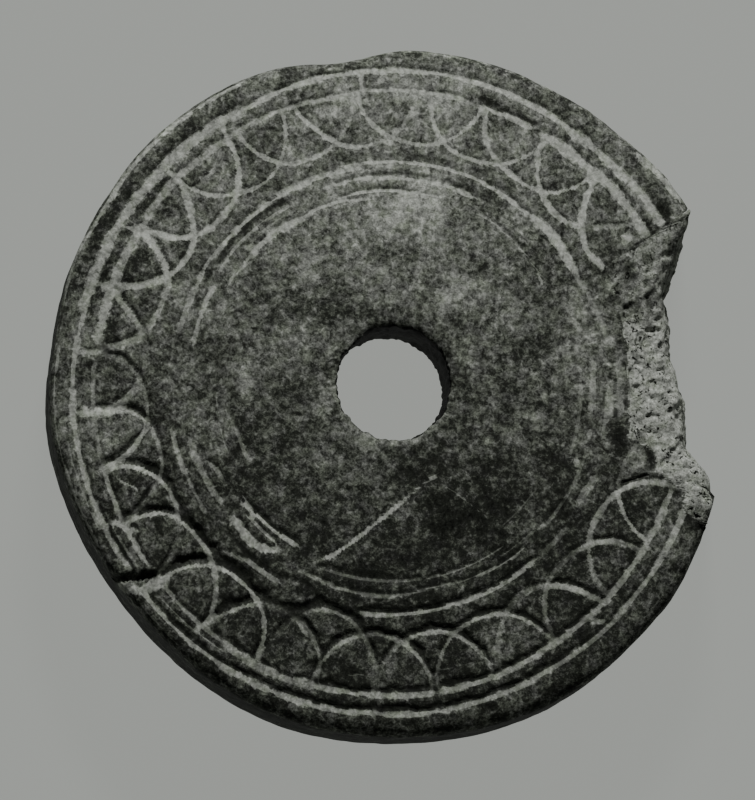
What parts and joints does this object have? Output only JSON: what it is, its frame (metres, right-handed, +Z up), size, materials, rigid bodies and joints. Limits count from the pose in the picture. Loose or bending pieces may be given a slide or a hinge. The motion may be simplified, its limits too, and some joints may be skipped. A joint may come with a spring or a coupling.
{
  "type": "perforated disc",
  "caption": "Round, thick disc of dark carved stone with a central hole, ringed grooves, a band of interlaced arcs and a broken edge.",
  "frame": {"origin": "Bottom centre of the disc's box, on the plane of the plain underside.", "axes": "+Z points up out of the carved face. +Y is the top of the pictured face and +X is its broken side."},
  "size_m": [0.058, 0.0594, 0.0115],
  "materials": {
    "stone": "dark mottled soft stone, worn, with pale dust in the cut lines"
  },
  "bodies": {
    "root": {"perforated_disc": "stone"}
  },
  "joints": []
}
